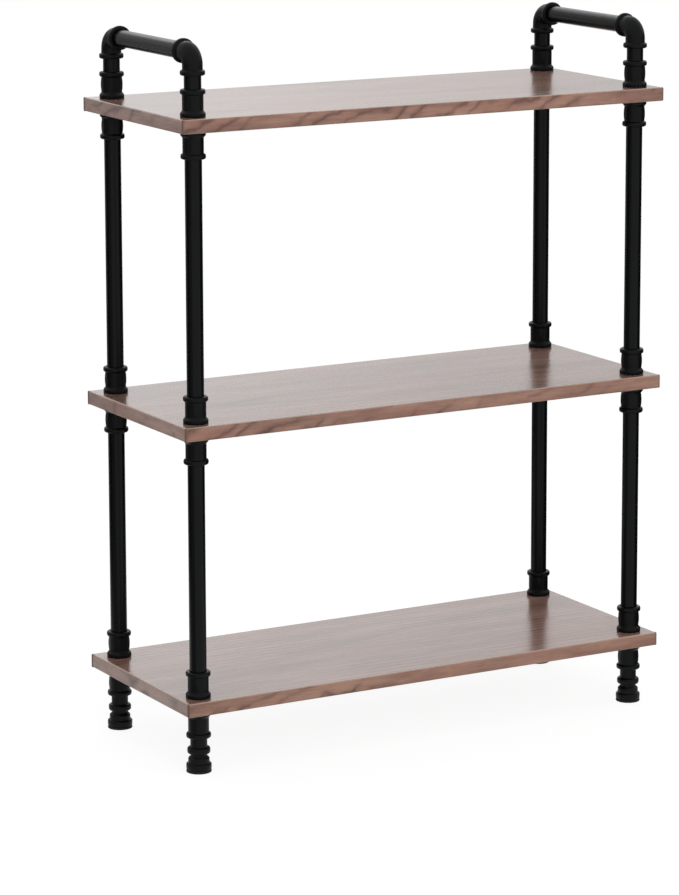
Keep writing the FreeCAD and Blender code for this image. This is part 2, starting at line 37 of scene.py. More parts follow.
bl_info = {
    "name": "Pipe shelving unit",
    "version": (1, 0, 0),
    "blender": (4, 5, 0),
    "location": "3D View > Sidebar > Shelving",
    "description": "Models the fittings of a pipe shelving unit and gives every piece its finish",
    "category": "Object",
}

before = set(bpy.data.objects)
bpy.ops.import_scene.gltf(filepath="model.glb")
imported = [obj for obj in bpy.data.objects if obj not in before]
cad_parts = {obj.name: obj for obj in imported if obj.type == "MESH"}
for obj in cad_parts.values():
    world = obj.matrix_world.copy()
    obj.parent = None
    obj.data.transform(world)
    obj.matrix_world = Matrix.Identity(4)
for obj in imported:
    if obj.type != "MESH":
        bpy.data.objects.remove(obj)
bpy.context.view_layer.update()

MM = 0.001
WHITE = (1.0, 1.0, 1.0, 1.0)
SHELVES = ("top", "middle", "bottom")
CORNERS = ("front_left", "front_right", "back_right", "back_left")

# Points nearer than this many metres are one point, and edges sharper than this stay sharp.
MERGE = 1e-6
SHARP_ANGLE = math.radians(38.0)

# Sizes that the fittings share with the solids that they stand for.
PIPE_RADIUS = 11.5
THREAD_RADIUS = 10.5
TAPPED_RADIUS = 10.55
MOUTH_RADIUS = 11.7
MOUTH_DEPTH = 1.5
COLLAR_LENGTH = 36.5
COLLAR_RADIUS = 14.1
COLLAR_BEAD_RADIUS = 16.8
COLLAR_BEAD_HEIGHT = 6.8
COLLAR_RIM_RADIUS = 16.9
COLLAR_RIM_HEIGHT = 5.0
COLLAR_RIM_SLOPE = 3.2
COLLAR_BARREL_START = COLLAR_RIM_HEIGHT + COLLAR_RIM_SLOPE
COLLAR_BARREL_END = COLLAR_LENGTH - COLLAR_BEAD_HEIGHT
COLLAR_RIB_TURN = 60.0
COLLAR_RIB_SINK = 0.1
ELBOW_RADIUS = 13.6
ELBOW_BEAD_RADIUS = 16.6
ELBOW_BEAD_HEIGHT = 7.0
ELBOW_BORE_RADIUS = 9.0
ELBOW_BEND_RADIUS = 17.0
ELBOW_REACH = 29.8
SOCKET_BEAD_RADIUS = 15.6
SOCKET_BEAD_HEIGHT = 9.2
SOCKET_SHOULDER = 23.7
SOCKET_END = 34.7
STEM_BORE_RADIUS = 8.05
STEM_RADIUS = 7.95
NECK_RADIUS = 11.2
NECK_END = 22.0
FOOT_RADIUS = 14.45
FOOT_SHOULDER_START = 16.0
FOOT_NECK_START = 19.2
FOOT_BEAD_RADIUS = 17.2
FOOT_BEAD_HEIGHT = 9.4
FOOT_BASE_RADIUS = 16.3
FOOT_BASE_SLOPE = 2.0
PAD_RADIUS = 17.1
PAD_THICKNESS = 3.0
PAD_PLUG_RADIUS = 4.0
PAD_PLUG_HEIGHT = 4.0
PAD_HOLE_RADIUS = 4.05
PAD_HOLE_DEPTH = 4.5

# The thread on a foot's stem, which is plain in the solid: its root and pitch, its flats, its
# turns, how far inside the neck it starts, and how many times coarser it is than a fitting.
STEM_ROOT_RADIUS = 6.9
STEM_PITCH = 2.0
STEM_FLAT = 0.25
STEM_TURNS = 9.5
STEM_SINK = 1.0
STEM_COARSENESS = 3

# A hair between a pad and the foot that turns on it, so that they never share a plane.
PAD_TOP_GAP = 0.02

# The steps along a collar's ribs, and the share of the barrel before and after them.
RIB_STATIONS = 16
RIB_MARGIN = 0.08

# How the growth rings lie in the print: how the wood is scaled and then slanted about the
# trunk, how much and how finely its rings waver, and how dark the weakest and strongest are.
# Then how strong the fibres and the pores are, and the tone that stays the palest.
BOARD_FIGURE = {
    "scale": (1.0 / 16.0, 1.0, 0.12),
    "slant": (0.0, math.radians(34.0), math.radians(12.0)),
    "waver": 5.0,
    "fineness": 0.4,
    "weakest": 0.03,
    "strongest": 0.42,
    "fibre": 0.25,
    "pores": 0.55,
    "palest": 0.33,
}
BAND_FIGURE = {
    "scale": (1.0, 1.0, 1.0),
    "slant": (0.0, math.radians(23.0), 0.0),
    "waver": 9.0,
    "fineness": 0.9,
    "weakest": -0.1,
    "strongest": 0.56,
    "fibre": 0.42,
    "pores": 0.35,
    "palest": 0.315,
}

# Where each print is laid on its pieces, in metres.
BOARD_OFFSET = (0.0, 0.031, 0.012)
LONG_BAND_OFFSET = (0.0, 0.004, 0.0)
END_BAND_OFFSET = (0.3, 0.0, 0.0)

# The walnut print: the period of a wave texture's rings at a scale of one, how narrow the late
# wood is, its features' widths and how they are drawn out along the grain, and its span of
# tones with the main tone's place in it.
WAVE_PERIOD = math.tau / 20.0
LATE_WOOD = 3.0
DRIFT_WIDTH = 38.0
DRIFT_STRETCH = 0.18
FIBRE_WIDTH = 1.2
FIBRE_STRETCH = 0.03
PORE_WIDTH = 0.9
TONE_SPAN = 0.6
MAIN_TONE = 0.45

# The finishes' relief and gloss: widths and heights of what a surface carries, how much duller
# or glossier it is in places, and its roughness where no setting holds it. Lumps and wear on a
# casting are so many grains of sand wide.
LAMINATE_RIPPLE_WIDTH = 9.0
LAMINATE_RIPPLE_HEIGHT = 0.004
LAMINATE_PORE_DEPTH = 0.005
LAMINATE_PORE_DULLNESS = 0.07
BAND_PORE_DEPTH = 0.02
BAND_PORE_DULLNESS = 0.1
# How far before a band's end its painted joint shade begins, and how far past the end it runs; it
# also tints the cut end.
BAND_SEAM_SHADE_START = 3.2
BAND_SEAM_SHADE_PAST_END = 0.2
LUMP_GRAINS = 4.0
LUMP_HEIGHT = 0.12
GRIT_HEIGHT = 0.05
WEAR_GRAINS = 6.0
CAST_GLOSSIER = 0.06
CAST_DULLER = 0.08
PEEL_HEIGHT = 0.02
DRAW_LINE_WIDTH = 1.5
DRAW_LINE_HEIGHT = 0.012
DRAW_LINE_STRETCH = 0.02
PIPE_GLOSS_CHANGE = 0.05
TURNING_WIDTH = 0.4
TURNING_HEIGHT = 0.01
TURNING_STRETCH = 0.02
ZINC_ROUGHNESS = (0.28, 0.42)
BLAST_WIDTH = 1.0
BLAST_HEIGHT = 0.04
RUBBER_ROUGHNESS = (0.68, 0.88)

# The studio floor: how far it lies below the pads, the sides of its circle, and the shares of
# its radius at which its fade begins and ends.
FLOOR_GAP = 0.1
FLOOR_SIDES = 128
FADE_START = 0.45
FADE_END = 0.95

# The camera looks down ten degrees from the left of the front, through a long lens whose
# frame is shifted to hold the unit. Its place is in metres.
CAMERA_PLACE = (-2.53679, -4.42487, 1.47797)
CAMERA_TILT = math.radians(79.97)
CAMERA_HEADING = math.radians(30.08)
CAMERA_LENS = 149.5
CAMERA_SENSOR = 36.0
CAMERA_SHIFT = (-0.0599, -0.1492)

# The softboxes: the setting that holds its power, its place, what it points at and its width
# and height, in metres, whether gloss mirrors it, and its spread. The narrow beam is seen more
# squarely from the left half of the boards than from the right.
SOFTBOXES = (
    ("overhead", (0.0, -0.2, 2.6), (0.0, 0.0, 0.5), (1.6, 1.6), True, 180.0),
    ("key", (-0.6, -3.6, 1.7), (0.0, 0.0, 0.5), (1.8, 1.8), False, 180.0),
    ("back", (0.95, 3.0, 2.6), (0.0, 0.0, 0.9), (2.7, 1.0), True, 180.0),
    ("low_back", (0.72, 2.1, 0.52), (0.0, 0.0, 0.4), (3.0, 0.6), True, 180.0),
    ("beam", (1.5, 2.6, 1.0), (1.258078, 1.629704, 0.76), (1.8, 1.4), True, 36.0),
)

# The share of light that passes each kind of studio net, and the flags of net that only gloss
# sees, each a screen with a mat on the floor before it: its net, the side of the camera's line
# of sight that it is on, left (-1) or right (1), the angles about the unit that it spans,
# counted from that line behind the unit, and where its mat starts.
NET_SHARES = {"dense": 0.02, "open": 0.4}
FLAGS = (
    ("dense", -1, 20.0, 53.0, 500.0),
    ("dense", -1, 68.0, 112.0, 1100.0),
    ("open", -1, 112.0, 150.0, 500.0),
    ("dense", 1, 20.0, 98.0, 500.0),
)
MAT_END = 2400.0
SCREEN_RADIUS = 6000.0
SCREEN_LOW = -1200.0
SCREEN_HIGH = 1600.0
SCREEN_STEPS = 24


def linear(colour):
    """The linear red, green and blue of an sRGB hex colour, by that standard's own curve."""
    channels = [int(colour[place:place + 2], 16) / 255 for place in (1, 3, 5)]
    return [c / 12.92 if c <= 0.04045 else ((c + 0.055) / 1.055) ** 2.4 for c in channels]


def length(title, description, millimetres):
    """A size in millimetres, shown in the sidebar in the scene's own unit."""
    return FloatProperty(name=title, description=description, default=millimetres * MM,
                         min=0.0, precision=5, subtype="DISTANCE", unit="LENGTH")


def colour(title, description, value):
    """A colour given as sRGB hex."""
    return FloatVectorProperty(name=title, description=description, default=linear(value),
                               min=0.0, max=1.0, subtype="COLOR")


def share(title, description, value):
    """A number from nothing to one."""
    return FloatProperty(name=title, description=description, default=value,
                         min=0.0, max=1.0, subtype="FACTOR")


def power(title, description, watts):
    """The power of a lamp."""
    return FloatProperty(name=title, description=description, default=watts,
                         min=0.0, unit="POWER")


class CastingSizes(bpy.types.PropertyGroup):
    """The softness of the cast fittings, and how finely they are divided."""

    bead_round: length("Bead rounding", "Rounding of the beads on collars and elbows", 2.4)
    socket_bead_round: length("Socket bead rounding", "Rounding of a foot socket's bead", 3.0)
    fillet: length("Root fillet", "Fillet where a bead or rim meets its barrel", 0.8)
    rim_round: length("Rim rounding", "Rounding of the rim that bears on a board", 1.0)
    mouth_round: length("Mouth rounding", "Rounding of the edge of a pipe mouth", 0.4)
    rib_height: length("Rib height", "How far a grip rib's middle stands out", 0.7)
    rib_width: length("Rib width", "Width of a grip rib", 5.0)
    rib_draft: length("Rib draft", "Width over which a grip rib's side slopes", 0.8)
    ring_steps: IntProperty(name="Ring steps", description="Faces round a fitting",
                            default=144, min=24, max=288)
    round_steps: IntProperty(name="Rounding steps", description="Faces across a rounding",
                             default=5, min=1, max=12)


class WalnutFinish(bpy.types.PropertyGroup):
    """The printed walnut on the boards and on their edge bands."""

    board_light: colour("Board early wood", "Lightest tone on the boards", "#92766B")
    board_middle: colour("Board heart wood", "Main tone on the boards", "#785D52")
    board_dark: colour("Board late wood", "Tone of the boards' growth rings", "#5A433B")
    band_light: colour("Band early wood", "Lightest tone on the long bands", "#AA8370")
    band_middle: colour("Band heart wood", "Main tone on the long bands", "#866355")
    band_dark: colour("Band late wood", "Tone of the long bands' growth rings", "#583D34")
    # The ends' tones are a greyer, paler copy of the long bands' tones: painted reflection and light
    # on the end faces, which carry the same strip.
    end_sheen_light: colour("End early wood", "Lightest tone on the greyer bands of the ends", "#AD8F83")
    end_sheen_middle: colour("End heart wood", "Main tone on the bands of the ends", "#8A7169")
    end_sheen_dark: colour("End late wood", "Tone of the growth rings on the ends", "#5C4F4B")
    blush: colour("Blush", "Redder tone that drifts through the print", "#8E5F52")
    # This tone paints the shade of the joint between strips and tints each strip's cut end.
    core: colour("Strip core", "Tone of an edge band's cut end and of the glue by it", "#70564B")
    # This tone is paler than the cut print alone: it also paints the highlight on the rounded
    # corners.
    trimmed_and_highlight: colour("Trimmed print", "Tone of an edge band where its corner is shaved", "#B5A093")
    ring_width: length("Ring width", "Distance between growth rings on the boards", 13.0)
    band_ring_width: length("Band ring width", "Distance between growth rings on the bands", 19.0)
    pore_length: length("Pore length", "Length of the dark pores in the print", 14.0)
    board_roughness: share("Board roughness", "Roughness of the semi-gloss laminate", 0.21)
    band_roughness: share("Band roughness", "Roughness of the satin edge bands", 0.34)


class CoatFinish(bpy.types.PropertyGroup):
    """The black powder coat on the iron and steel, and the parts that are left bare."""

    black: colour("Coat", "Colour of the black powder coat", "#050607")
    cast_roughness: share("Cast roughness", "Roughness of the coat on cast fittings", 0.4)
    pipe_roughness: share("Pipe roughness", "Roughness of the coat on pipes", 0.28)
    specular: share("Coat reflection", "Strength of the coat's reflection, 0.5 for bare resin", 0.135)
    grit: length("Casting grit", "Width of the sand's grain under the coat", 1.6)
    peel: length("Coat ripple", "Width of the ripples in the coat", 2.6)
    zinc: colour("Zinc", "Colour of the zinc plating", "#B9BCC0")
    rubber: colour("Rubber", "Colour of the foot pads", "#1A1A1B")


class StudioSetup(bpy.types.PropertyGroup):
    """The floor and the lamps that show the unit."""

    floor_radius: length("Floor radius", "Radius at which the floor ends", 2400.0)
    floor: colour("Floor", "Colour of the floor paint, as it lights the unit", "#A6A6A6")
    floor_seen: colour("Floor as seen", "Colour of the floor paint under its glow", "#696969")
    glow: share("Floor glow", "Strength of the white that the floor gives off where it is seen", 0.9)
    ambient: FloatProperty(name="Ambient", description="Strength of the light from all round",
                           default=0.76, min=0.0, max=2.0)
    overhead: power("Overhead lamp", "Power of the overhead softbox", 1.0)
    back: power("Back lamp", "Power of the softbox high behind the unit", 14.0)
    low_back: power("Low back lamp", "Power of the low strip behind it", 2.6)
    beam: power("Beam lamp", "Power of the narrow lamp from back right", 0.3)
    key: power("Key lamp", "Power of the softbox before the unit", 42.0)


def set_inputs(tree, node, inputs):
    """Gives a node's inputs their values, or links them to sockets."""
    for socket, value in inputs.items():
        if isinstance(value, bpy.types.NodeSocket):
            tree.links.new(value, node.inputs[socket])
        else:
            node.inputs[socket].default_value = value


def add_node(tree, kind, inputs=None, stops=None, **settings):
    """Adds a node with its settings and inputs; stops colour a ramp."""
    node = tree.nodes.new(kind)
    for name, value in settings.items():
        setattr(node, name, value)
    set_inputs(tree, node, inputs or {})
    for number, (place, tone) in enumerate(stops or ()):
        ramp = node.color_ramp.elements
        stop = ramp[number] if number < len(ramp) else ramp.new(place)
        stop.position = place
        stop.color = (*tone, 1.0)
    return node


def empty_tree(owner):
    """The node tree of a new material or world, emptied."""
    owner.use_nodes = True
    owner.node_tree.nodes.clear()
    return owner.node_tree


def new_material(name):
    """A material, its nodes, its surface shader and the socket of places on the piece."""
    material = bpy.data.materials.new(name)
    tree = empty_tree(material)
    shader = add_node(tree, "ShaderNodeBsdfPrincipled")
    add_node(tree, "ShaderNodeOutputMaterial", {"Surface": shader.outputs["BSDF"]})
    return material, tree, shader, add_node(tree, "ShaderNodeTexCoord").outputs["Object"]


def per_metre(millimetres):
    """The texture scale at which one feature is that wide."""
    return 1.0 / (millimetres * MM)


def noise_relief(tree, place, scale, height, detail, below=None):
    """A noise and the relief that it makes, over the relief below it if there is one."""
    noise = add_node(tree, "ShaderNodeTexNoise", {
        "Vector": place, "Scale": scale, "Detail": detail}).outputs["Fac"]
    bump = add_node(tree, "ShaderNodeBump", {"Height": noise, "Distance": height * MM})
    if below:
        set_inputs(tree, bump, {"Normal": below})
    return noise, bump.outputs["Normal"]


def grain_noise(tree, place, width, stretch, detail, roughness=0.5):
    """The outputs of a noise with features that wide across the grain, drawn out along it."""
    drawn_out = add_node(tree, "ShaderNodeMapping", {
        "Vector": place, "Scale": (stretch, 1.0, 1.0)}).outputs["Vector"]
    return add_node(tree, "ShaderNodeTexNoise", {
        "Vector": drawn_out, "Scale": per_metre(width), "Detail": detail,
        "Roughness": roughness}).outputs


def walnut_rings(tree, place, figure, ring_width):
    """Growth rings about a slanted trunk: a socket that is one in their late wood."""
    trunk = add_node(tree, "ShaderNodeMapping", {
        "Vector": place, "Rotation": figure["slant"], "Scale": figure["scale"]}).outputs["Vector"]
    rings = add_node(tree, "ShaderNodeTexWave", {
        "Vector": trunk, "Scale": WAVE_PERIOD / ring_width, "Distortion": figure["waver"],
        "Detail": 3.0, "Detail Scale": figure["fineness"], "Detail Roughness": 0.55},
        wave_type="RINGS", rings_direction="X", wave_profile="TRI").outputs["Fac"]
    # Late wood is a narrow soft line in each ring.
    return add_node(tree, "ShaderNodeMath", {0: rings, 1: LATE_WOOD}, operation="POWER").outputs[0]


def walnut_drift(tree, place, figure):
    """Slow changes through the print: sockets of its tone, its redness and its rings' strength."""
    # Tone drifts over hands' breadths along the board and fingers' breadths across it.
    drift = grain_noise(tree, place, DRIFT_WIDTH, DRIFT_STRETCH, detail=3.0, roughness=0.6)
    apart = add_node(tree, "ShaderNodeSeparateColor", {"Color": drift["Color"]}).outputs
    redness = add_node(tree, "ShaderNodeMapRange", {
        "Value": apart["Green"], "From Min": 0.42, "From Max": 0.68,
        "To Max": 0.45}).outputs["Result"]
    # Some rings are strong and others fade out.
    strength = add_node(tree, "ShaderNodeMapRange", {
        "Value": apart["Blue"], "From Min": 0.4, "From Max": 0.64,
        "To Min": figure["weakest"], "To Max": figure["strongest"]}).outputs["Result"]
    return drift["Fac"], redness, strength


def walnut_fibres(tree, place, figure, pore_length):
    """The fine figure: sockets of its fibre streaks and of its short dark pores."""
    # Real fibres are a tenth of a millimetre wide; they are drawn coarser to show.
    fibre = grain_noise(tree, place, FIBRE_WIDTH, FIBRE_STRETCH, detail=4.0, roughness=0.62)
    dashes = grain_noise(tree, place, PORE_WIDTH, PORE_WIDTH * MM / pore_length, detail=1.0)
    pores = add_node(tree, "ShaderNodeMapRange", {
        "Value": dashes["Fac"], "From Min": 0.6, "From Max": 0.72,
        "To Max": figure["pores"]}).outputs["Result"]
    return fibre["Fac"], pores


def walnut_print(tree, walnut, tones, ring_width, figure, turn, offset):
    """The printed walnut: its colour socket and a socket that is high in its pores.

    The grain runs along X after the pattern is turned by that angle about Z.
    """
    place = add_node(tree, "ShaderNodeTexCoord").outputs["Object"]
    place = add_node(tree, "ShaderNodeMapping", {
        "Vector": place, "Rotation": (0.0, 0.0, turn), "Location": offset}).outputs["Vector"]
    rings = walnut_rings(tree, place, figure, ring_width)
    drift, redness, strength = walnut_drift(tree, place, figure)
    fibre, pores = walnut_fibres(tree, place, figure, walnut.pore_length)
    tone = drift
    for lines, darkness in ((rings, strength), (fibre, figure["fibre"])):
        tone = add_node(tree, "ShaderNodeMath", {0: lines, 1: darkness, 2: tone},
                        operation="MULTIPLY_ADD").outputs[0]
    palest = figure["palest"] + figure["fibre"] / 2
    tone = add_node(tree, "ShaderNodeMapRange", {
        "Value": tone, "From Min": palest, "From Max": palest + TONE_SPAN}).outputs["Result"]
    wood = add_node(tree, "ShaderNodeValToRGB", {"Fac": tone}, stops=(
        (0.0, tones[0]), (MAIN_TONE, tones[1]), (1.0, tones[2]))).outputs["Color"]
    for places, stain in ((redness, walnut.blush), (pores, tones[2])):
        wood = add_node(tree, "ShaderNodeMix", {"Factor": places, "A": wood, "B": (*stain, 1.0)},
                        data_type="RGBA").outputs["Result"]
    return wood, pores


def laminate_material(walnut):
    """Walnut print under melamine, pressed on particle board with a semi-gloss plate.

    The eye gets a flat brown print, washed out by a clear mirror of the room at low angles,
    with a faint ripple of the chips beneath and pores that are dull in the gloss.
    """
    material, tree, shader, place = new_material("walnut_print_melamine_laminate")
    tones = (walnut.board_light, walnut.board_middle, walnut.board_dark)
    wood, pores = walnut_print(tree, walnut, tones, walnut.ring_width, BOARD_FIGURE,
                               0.0, BOARD_OFFSET)
    _, ripple = noise_relief(tree, place, per_metre(LAMINATE_RIPPLE_WIDTH),
                             LAMINATE_RIPPLE_HEIGHT, detail=1.0)
    dull = add_node(tree, "ShaderNodeMapRange", {
        "Value": pores, "To Min": walnut.board_roughness,
        "To Max": walnut.board_roughness + LAMINATE_PORE_DULLNESS}).outputs["Result"]
    relief = add_node(tree, "ShaderNodeBump", {
        "Height": pores, "Distance": LAMINATE_PORE_DEPTH * MM, "Normal": ripple},
        invert=True).outputs["Normal"]
    set_inputs(tree, shader, {
        "Base Color": wood, "Roughness": dull, "Normal": relief, "IOR": 1.45})
    return material


def reach(tree, vector, axis):
    """How far a vector reaches along an axis, either way."""
    part = add_node(tree, "ShaderNodeSeparateXYZ", {"Vector": vector}).outputs[axis]
    return add_node(tree, "ShaderNodeMath", {0: part}, operation="ABSOLUTE").outputs[0]


def band_material(walnut, node, axis, offset, tones):
    """Walnut print on a plastic strip, embossed and cut flush.

    The eye gets a satin strip with short slanting strokes of figure, redder than the boards
    on the long sides; on the ends a greyer, paler copy of those tones is painted reflection and
    light. A paler line on its rounded corners is the print cut back with a painted highlight,
    and a darker, duller tone by each joint between strips is painted shade that also tints the
    cut ends.
    """
    material, tree, shader, place = new_material(f"walnut_print_on_{node}")
    turn = math.radians(90.0) if axis == "Y" else 0.0
    wood, pores = walnut_print(tree, walnut, tones, walnut.band_ring_width, BAND_FIGURE,
                               turn, offset)
    facing = add_node(tree, "ShaderNodeTexCoord").outputs["Normal"]
    # Paler where the corners are rounded: the print cut back there, and a painted highlight on them.
    shaved_and_highlit = add_node(tree, "ShaderNodeMapRange", {
        "Value": reach(tree, facing, "Z"), "From Min": 0.45, "From Max": 0.8,
        "To Max": 0.7}).outputs["Result"]
    # Darker and duller towards each end: painted shade of the joint between strips, which also tints
    # the cut end.
    end = getattr(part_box(node)[1], axis.lower())
    seam_shade = add_node(tree, "ShaderNodeMapRange", {
        "Value": reach(tree, place, axis), "From Min": end - BAND_SEAM_SHADE_START * MM,
        "From Max": end + BAND_SEAM_SHADE_PAST_END * MM}).outputs["Result"]
    for places, bare in ((shaved_and_highlit, walnut.trimmed_and_highlight), (seam_shade, walnut.core)):
        wood = add_node(tree, "ShaderNodeMix", {"Factor": places, "A": wood, "B": (*bare, 1.0)},
                        data_type="RGBA").outputs["Result"]
    dull = add_node(tree, "ShaderNodeMapRange", {
        "Value": pores, "To Min": walnut.band_roughness,
        "To Max": walnut.band_roughness + BAND_PORE_DULLNESS}).outputs["Result"]
    dull = add_node(tree, "ShaderNodeMath", {0: dull, 1: seam_shade}, operation="MAXIMUM").outputs[0]
    relief = add_node(tree, "ShaderNodeBump", {
        "Height": pores, "Distance": BAND_PORE_DEPTH * MM}, invert=True).outputs["Normal"]
    set_inputs(tree, shader, {
        "Base Color": wood, "Roughness": dull, "Normal": relief, "IOR": 1.5})
    return material


def cast_coat_material(coat):
    """Black powder coat, baked over sand-cast malleable iron, and shared by all castings.

    The eye gets a satin black that is slightly lumpy, from the sand's grain, which the coat
    has filled and rounded, so its highlights are broad and a little broken.
    """
    name = "powder_coat_on_sand_cast_iron"
    if name in bpy.data.materials:
        return bpy.data.materials[name]
    material, tree, shader, place = new_material(name)
    _, lumps = noise_relief(tree, place, 1.0 / (LUMP_GRAINS * coat.grit), LUMP_HEIGHT,
                            detail=2.0)
    grit = add_node(tree, "ShaderNodeTexVoronoi", {
        "Vector": place, "Scale": 1.0 / coat.grit, "Smoothness": 1.0},
        feature="SMOOTH_F1").outputs["Distance"]
    grit = add_node(tree, "ShaderNodeBump", {
        "Height": grit, "Distance": GRIT_HEIGHT * MM, "Normal": lumps}).outputs["Normal"]
    wear = add_node(tree, "ShaderNodeTexNoise", {
        "Vector": place, "Scale": 1.0 / (WEAR_GRAINS * coat.grit), "Detail": 3.0}).outputs["Fac"]
    wear = add_node(tree, "ShaderNodeMapRange", {
        "Value": wear, "From Min": 0.3, "From Max": 0.7,
        "To Min": coat.cast_roughness - CAST_GLOSSIER,
        "To Max": coat.cast_roughness + CAST_DULLER}).outputs["Result"]
    set_inputs(tree, shader, {
        "Base Color": (*coat.black, 1.0), "Roughness": wear, "Normal": grit,
        "Specular IOR Level": coat.specular})
    return material


def pipe_coat_material(coat, name, stretch):
    """Black powder coat, baked over cold-drawn steel pipe.

    The eye gets an even satin black with a faint ripple in the coat and, along the pipe,
    the last trace of the die's draw lines.
    """
    material, tree, shader, place = new_material(name)
    _, peel = noise_relief(tree, place, 1.0 / coat.peel, PEEL_HEIGHT, detail=1.0)
    along = add_node(tree, "ShaderNodeMapping", {
        "Vector": place, "Scale": stretch}).outputs["Vector"]
    # Draw lines are hundredths of a millimetre wide; they are drawn coarser to show.
    lines, drawn = noise_relief(tree, along, per_metre(DRAW_LINE_WIDTH), DRAW_LINE_HEIGHT,
                                detail=2.0, below=peel)
    gloss = add_node(tree, "ShaderNodeMapRange", {
        "Value": lines, "From Min": 0.3, "From Max": 0.7,
        "To Min": coat.pipe_roughness - PIPE_GLOSS_CHANGE,
        "To Max": coat.pipe_roughness + PIPE_GLOSS_CHANGE}).outputs["Result"]
    set_inputs(tree, shader, {
        "Base Color": (*coat.black, 1.0), "Roughness": gloss, "Normal": drawn,
        "Specular IOR Level": coat.specular})
    return material


def zinc_material(coat):
    """Zinc plating on turned steel: bright grey with fine turning marks round it."""
    material, tree, shader, place = new_material("zinc_plated_turned_steel")
    around = add_node(tree, "ShaderNodeMapping", {
        "Vector": place, "Scale": (TURNING_STRETCH, TURNING_STRETCH, 1.0)}).outputs["Vector"]
    marks, turned = noise_relief(tree, around, per_metre(TURNING_WIDTH), TURNING_HEIGHT,
                                 detail=2.0)
    gloss = add_node(tree, "ShaderNodeMapRange", {
        "Value": marks, "To Min": ZINC_ROUGHNESS[0],
        "To Max": ZINC_ROUGHNESS[1]}).outputs["Result"]
    set_inputs(tree, shader, {
        "Base Color": (*coat.zinc, 1.0), "Metallic": 1.0, "Roughness": gloss, "Normal": turned})
    return material


def rubber_material(coat):
    """Moulded black rubber: soft, matt and slightly mottled from the mould's blasted face."""
    material, tree, shader, place = new_material("moulded_black_rubber")
    blast, blasted = noise_relief(tree, place, per_metre(BLAST_WIDTH), BLAST_HEIGHT, detail=2.0)
    matt = add_node(tree, "ShaderNodeMapRange", {
        "Value": blast, "To Min": RUBBER_ROUGHNESS[0],
        "To Max": RUBBER_ROUGHNESS[1]}).outputs["Result"]
    set_inputs(tree, shader, {
        "Base Color": (*coat.rubber, 1.0), "Roughness": matt, "Normal": blasted,
        "Specular IOR Level": 0.3})
    return material


def dress(node, material):
    """Gives a CAD node's object that material."""
    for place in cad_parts[node].material_slots:
        place.material = material


def add_object(name, bm, material):
    """A new object of that material in the scene, from a bmesh that is freed."""
    mesh = bpy.data.meshes.new(name)
    bm.to_mesh(mesh)
    bm.free()
    mesh.materials.append(material)
    thing = bpy.data.objects.new(mesh.name, mesh)
    bpy.context.scene.collection.objects.link(thing)
    return thing


def add_piece(shape, place, node, body, material):
    """A copy of a shape, put in its place, that stands for a CAD node and rides on a body."""
    bm = shape.copy()
    bmesh.ops.transform(bm, matrix=place, verts=bm.verts)
    bmesh.ops.recalc_face_normals(bm, faces=bm.faces)
    piece = add_object("dressed_" + node, bm, material)
    piece.data.shade_smooth()
    piece.data.set_sharp_from_angle(angle=SHARP_ANGLE)
    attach(piece, body)
    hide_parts(node)


def turn_outline(bm, corners, castings, closed=True):
    """Turns an outline once round Z, its corners rounded first.

    Corners are radius and height in millimetres and a rounding in metres or nothing. An
    outline that is not closed starts and ends on the axis or at a ring left for a later step.
    """
    points = [bm.verts.new((radius * MM, 0.0, height * MM)) for radius, height, _ in corners]
    for start, end in zip(points, points[1:]):
        bm.edges.new((start, end))
    if closed:
        bm.edges.new((points[-1], points[0]))
    for point, (_, _, rounding) in zip(points, corners):
        if rounding:
            bmesh.ops.bevel(bm, geom=[point], affect="VERTICES", offset=rounding,
                            offset_type="OFFSET", segments=castings.round_steps,
                            profile=0.5, material=-1)
    bmesh.ops.spin(bm, geom=bm.verts[:] + bm.edges[:], cent=(0, 0, 0), axis=(0, 0, 1),
                   angle=math.tau, steps=castings.ring_steps, use_merge=True)
    bmesh.ops.remove_doubles(bm, verts=bm.verts, dist=MERGE)


def raise_ribs(bm, castings):
    """Draws two opposite grip ribs out of a collar's barrel, arched along their length."""
    start = COLLAR_BARREL_START * MM
    end = COLLAR_BARREL_END * MM
    barrel = COLLAR_RADIUS * MM
    half_width = castings.rib_width / 2
    foot = math.sqrt(barrel ** 2 - half_width ** 2) - COLLAR_RIB_SINK * MM
    rise = barrel + castings.rib_height - foot
    for vert in bm.verts:
        on_barrel = vert.co.xy.length > barrel - MERGE and start < vert.co.z < end
        away = (half_width + castings.rib_draft / 2 - abs(vert.co.y)) / castings.rib_draft
        if not on_barrel or away <= 0.0:
            continue
        along = (2.0 * vert.co.z - start - end) / (end - start)
        crest = foot + rise * (1.0 - along ** 2)
        side = min(away, 1.0)
        lift = max(crest - abs(vert.co.x), 0.0) * side * side * (3.0 - 2.0 * side)
        vert.co.x += math.copysign(lift, vert.co.x)


